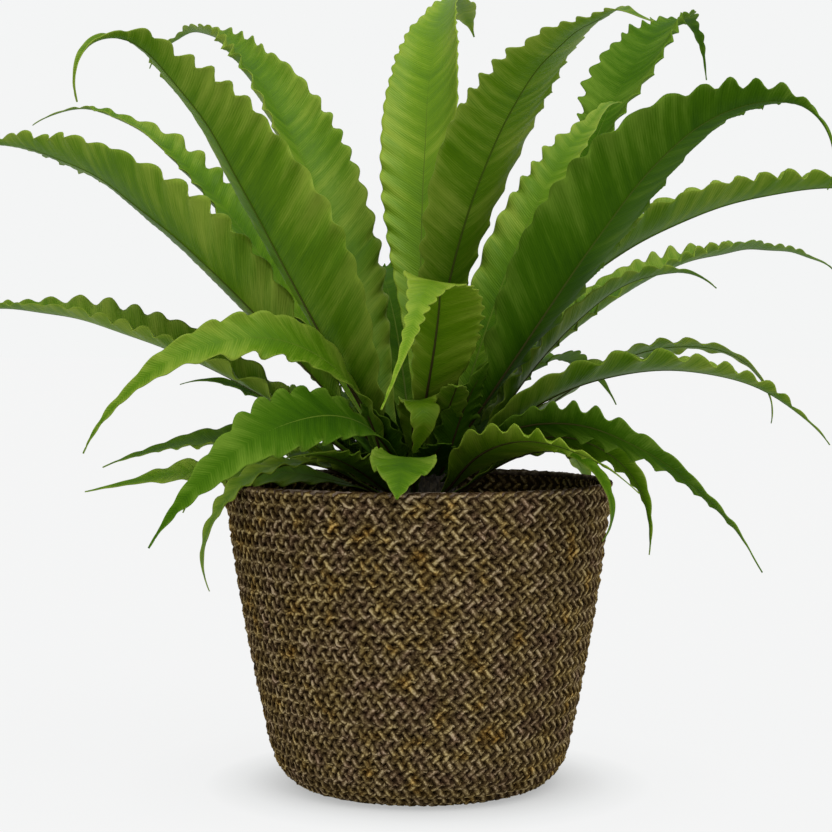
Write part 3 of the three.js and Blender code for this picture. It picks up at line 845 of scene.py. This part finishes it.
def blade_finish(name, dark, middle, bright, roughness, banding, shine):
    """Leaf skin: lanes of darker and paler green along the veins, painted shade along the midrib, darker at
    the foot.
    """
    finish, tree, shader = new_finish(name, roughness)
    lay = place(tree, "ShaderNodeUVMap", uv_map="UVMap").outputs["UV"]
    veins = place(tree, "ShaderNodeGroup", {"Blade": lay}, node_tree=side_veins)
    object_place = place(tree, "ShaderNodeTexCoord").outputs["Object"]
    cloud = place(tree, "ShaderNodeTexNoise", {"Vector": object_place, "Scale": 14.0, "Detail": 2.0})
    tone = calc(tree, "MULTIPLY_ADD", veins.outputs["Lanes"], banding,
                calc(tree, "MULTIPLY", cloud.outputs["Fac"], 1 - banding))
    tone = calc(tree, "MULTIPLY_ADD", veins.outputs["Veins"], 0.25, tone)
    outward = place(tree, "ShaderNodeAttribute", attribute_name="outward").outputs["Fac"]
    # Painted shade: darker along the midrib, in the gutter's valley, and paler towards the margins, with a
    # thin pale line at the very edge.
    tone = calc(tree, "MULTIPLY_ADD", outward, 0.16, calc(tree, "ADD", tone, -0.08))
    tone = calc(tree, "MULTIPLY_ADD", calc(tree, "POWER", outward, 14.0), 0.12, tone)
    color = ramp(tree, tone, [(0.42, dark), (0.6, middle), (0.82, bright)])
    along = place(tree, "ShaderNodeSeparateXYZ", {"Vector": lay}).outputs["X"]
    # Darker towards the foot, partly the stalk's own colour and partly painted shade from the crown and the
    # leaves round it.
    foot_shade = ramp(tree, calc(tree, "MULTIPLY", along, 0.5),
                      [(0.05, (0.42, 0.46, 0.38)), (0.35, (0.76, 0.80, 0.70)), (0.85, (1.0, 1.0, 1.0))])
    tree.links.new(blend_colors(tree, 1.0, color, foot_shade, "MULTIPLY"), shader.inputs["Base Color"])
    gloss = calc(tree, "MULTIPLY_ADD", veins.outputs["Lanes"], 0.25, roughness - 0.12)
    tree.links.new(gloss, shader.inputs["Roughness"])
    bump = place(tree, "ShaderNodeBump", {"Height": veins.outputs["Veins"], "Strength": 0.5,
                                          "Distance": 0.0006})
    tree.links.new(bump.outputs["Normal"], shader.inputs["Normal"])
    shader.inputs["Specular IOR Level"].default_value = shine
    shader.inputs["Specular Tint"].default_value = (0.9, 1.0, 0.6, 1)
    return finish


def rib_finish():
    """Olive green above the blade; below it, brown at the foot and green further up."""
    finish, tree, shader = new_finish("midrib", 0.6)
    shader.inputs["Specular IOR Level"].default_value = 0.05
    lay = place(tree, "ShaderNodeUVMap", uv_map="UVMap").outputs["UV"]
    split = place(tree, "ShaderNodeSeparateXYZ", {"Vector": lay})
    far = calc(tree, "MULTIPLY", split.outputs["X"], 0.25)
    below = ramp(tree, far, [(0.08, (0.03, 0.018, 0.008)), (0.25, (0.045, 0.048, 0.010)),
                             (0.45, (0.050, 0.088, 0.006))])
    above = ramp(tree, far, [(0.05, (0.04, 0.06, 0.01)), (0.25, (0.085, 0.14, 0.012))])
    color = blend_colors(tree, calc(tree, "GREATER_THAN", split.outputs["Y"], 0.0), above, below)
    tree.links.new(color, shader.inputs["Base Color"])
    return finish


midrib = rib_finish()

# each skin's upper face and underside, fresh and grown by the frond's age and shaded as a darker green
# painted
# for fronds in shade: dark, middle and bright green, roughness, how strongly the lanes show, and shine
leaf_skins = {
    "fresh": (
        blade_finish("fresh blade above", (0.070, 0.160, 0.002), (0.108, 0.212, 0.003),
                     (0.22, 0.31, 0.025), 0.45, 0.5, 0.2),
        blade_finish("fresh blade below", (0.074, 0.134, 0.014), (0.104, 0.172, 0.020),
                     (0.155, 0.225, 0.04), 0.75, 0.25, 0.0)),
    "grown": (
        blade_finish("grown blade above", (0.037, 0.104, 0.001), (0.072, 0.158, 0.002),
                     (0.18, 0.26, 0.025), 0.52, 0.45, 0.13),
        blade_finish("grown blade below", (0.036, 0.086, 0.006), (0.054, 0.112, 0.010),
                     (0.088, 0.150, 0.020), 0.75, 0.12, 0.0)),
    "shaded": (
        blade_finish("shaded blade above", (0.022, 0.070, 0.001), (0.040, 0.105, 0.002),
                     (0.10, 0.18, 0.015), 0.65, 0.5, 0.04),
        blade_finish("shaded blade below", (0.024, 0.062, 0.004), (0.036, 0.084, 0.006),
                     (0.062, 0.115, 0.014), 0.75, 0.12, 0.0)),
}
fresh_fronds = ("tall_back", "folded_front", "small_forked", "low_right_3")
# These fronds take the shaded skin: darker green painted for leaves that lie in shade.
shaded_fronds = ("right_hook", "right_front", "right_5", "left_1", "left_4", "small_left",
                 "back", "back_1", "back_2", "back_3", "low_back_2")


def skin_of(name):
    if name in fresh_fronds:
        return "fresh"
    return "shaded" if name in shaded_fronds else "grown"


def grow_leaf(course, seed, skin, node):
    """A blade with its two skins and its midrib, as one piece."""
    blade = frond_blade(course, seed)
    for side_skin in leaf_skins[skin]:
        blade.data.materials.append(side_skin)
    rib = frond_rib(course)
    rib.data.materials.append(midrib)
    dress(join_pieces([blade, rib], "leaf_" + course.name), None, node)


for ring, rows in fronds.items():
    lift, spacing = rings[ring]
    seats = frond_seats([row[1] for row in rows], spacing)
    for i, row in enumerate(rows):
        course = Course(row, lift, seats[i])
        seed = i + 7 * len(course.name)
        grow_leaf(course, seed, skin_of(course.name), "frond_" + course.name)

# Short broad leaves crowd the heart of the plant, behind and between the stalks. They differ in
# heading, length, width and the climb at the crown and at the tip.
heart_lift = 48
heart_bend = (1.6, 0, 0, 6, 0.8)  # lateness of the bend, swing, roll, fold and widest place
heart_leaves = [
    (22, 86, 40, 56, 12),
    (62, 82, 44, 60, 20),
    (104, 84, 44, 60, 22),
    (146, 82, 40, 56, 14),
    (176, 66, 30, 44, 10),
    (-126, 60, 24, 62, 34),
    (-48, 84, 27, 70, 46),
    (-8, 62, 28, 50, 12),
    (-74, 46, 26, 40, 8),
]
for i, leaf in enumerate(heart_leaves):
    course = Course((f"heart_{i + 1}", *leaf, *heart_bend), heart_lift, leaf[0])
    neighbour = "frond_small_left" if i < 6 else "frond_small_right"
    # the shaded skin: darker green painted for leaves in shade
    grow_leaf(course, 50 + i, "shaded", neighbour)

# ---- Studio -----------------------------------------------------------------------------------
# A wide pale floor against a pale backdrop, a broad soft light above on the right and a weaker
# one in front on the left, and the camera level with the lower fronds.

floor_width = 120  # in metres, as all of the studio's sizes
# The floor's glow is dimmed round the basket as painted shade, centred a little to its right.
shade_middle = (0.006, 0.0, 0.0)
shade_reach = 0.2  # the floor's shade fades out within this radius


def floor_finish():
    """A pale glowing floor, its glow dimmed round the basket as painted shade; it takes light and shadow only
    there.
    """
    finish, tree, shader = new_finish("pale floor", 0.95)
    object_place = place(tree, "ShaderNodeTexCoord").outputs["Object"]
    away = place(tree, "ShaderNodeVectorMath", {0: object_place, 1: shade_middle},
                 operation="DISTANCE").outputs["Value"]
    far = calc(tree, "MULTIPLY", away, 1 / shade_reach)

    # share of the shade's reach, the floor's own grey there, and its glow, dimmed near the basket as painted
    # shade
    stops = ((0.40, 0.25, (0.414, 0.419, 0.419)), (0.475, 0.20, (0.538, 0.543, 0.543)),
             (0.575, 0.10, (0.725, 0.732, 0.732)), (0.70, 0.03, (0.862, 0.866, 0.866)),
             (1.0, 0.02, (0.883, 0.887, 0.887)))
    shade = ramp(tree, far, [(where, (grey, grey, grey)) for where, grey, tint in stops])
    glow_and_painted_shade = ramp(tree, far, [(where, tint) for where, grey, tint in stops])
    tree.links.new(shade, shader.inputs["Base Color"])
    tree.links.new(glow_and_painted_shade, shader.inputs["Emission Color"])
    shader.inputs["Specular IOR Level"].default_value = 0.0
    shader.inputs["Emission Strength"].default_value = 1.0
    return finish


bpy.ops.mesh.primitive_plane_add(size=1, location=(0, 0, 0))
floor = bpy.context.object
floor.name = "floor"
bpy.ops.object.mode_set(mode="EDIT")
bpy.ops.mesh.select_all(action="SELECT")
bpy.ops.transform.resize(value=(floor_width, floor_width, 1))
bpy.ops.object.mode_set(mode="OBJECT")
floor.data.materials.append(floor_finish())

world = bpy.data.worlds.new("studio")
bpy.context.scene.world = world
world.use_nodes = True
sky = world.node_tree
backdrop = place(sky, "ShaderNodeBackground", {"Color": (0.905, 0.913, 0.913, 1), "Strength": 1.0})
ambient = sky.nodes["Background"]
ambient.inputs["Color"].default_value = (1.0, 1.0, 1.0, 1)
ambient.inputs["Strength"].default_value = 0.55
seen = place(sky, "ShaderNodeLightPath").outputs["Is Camera Ray"]
mixed = place(sky, "ShaderNodeMixShader", {"Fac": seen})
sky.links.new(ambient.outputs[0], mixed.inputs[1])
sky.links.new(backdrop.outputs[0], mixed.inputs[2])
sky.links.new(mixed.outputs[0], sky.nodes["World Output"].inputs["Surface"])


def soft_sun(name, strength, spread, azimuth, elevation):
    """A broad soft light from that side, in degrees: 0 is the camera's side and 90 the right."""
    lamp = bpy.data.lights.new(name, "SUN")
    lamp.energy = strength
    lamp.angle = math.radians(spread)
    held = bpy.data.objects.new(name, lamp)
    bpy.context.scene.collection.objects.link(held)
    held.rotation_euler = (math.radians(90 - elevation), 0, math.radians(azimuth))


soft_sun("overhead light", 2.6, 50, 42, 62)
soft_sun("front fill", 0.65, 60, -45, 25)

camera_left = 0.0012
camera_distance = 1.25
camera_height = 0.2714
camera_dip = 1.92  # degrees below level
camera = bpy.data.cameras.new("camera")
camera.lens = 86.5
camera.sensor_width = 36
eye = bpy.data.objects.new("camera", camera)
bpy.context.scene.collection.objects.link(eye)
eye.location = (-camera_left, -camera_distance, camera_height)
eye.rotation_euler = (math.radians(90 - camera_dip), 0, 0)
bpy.context.scene.camera = eye
bpy.context.scene.view_settings.view_transform = "Standard"
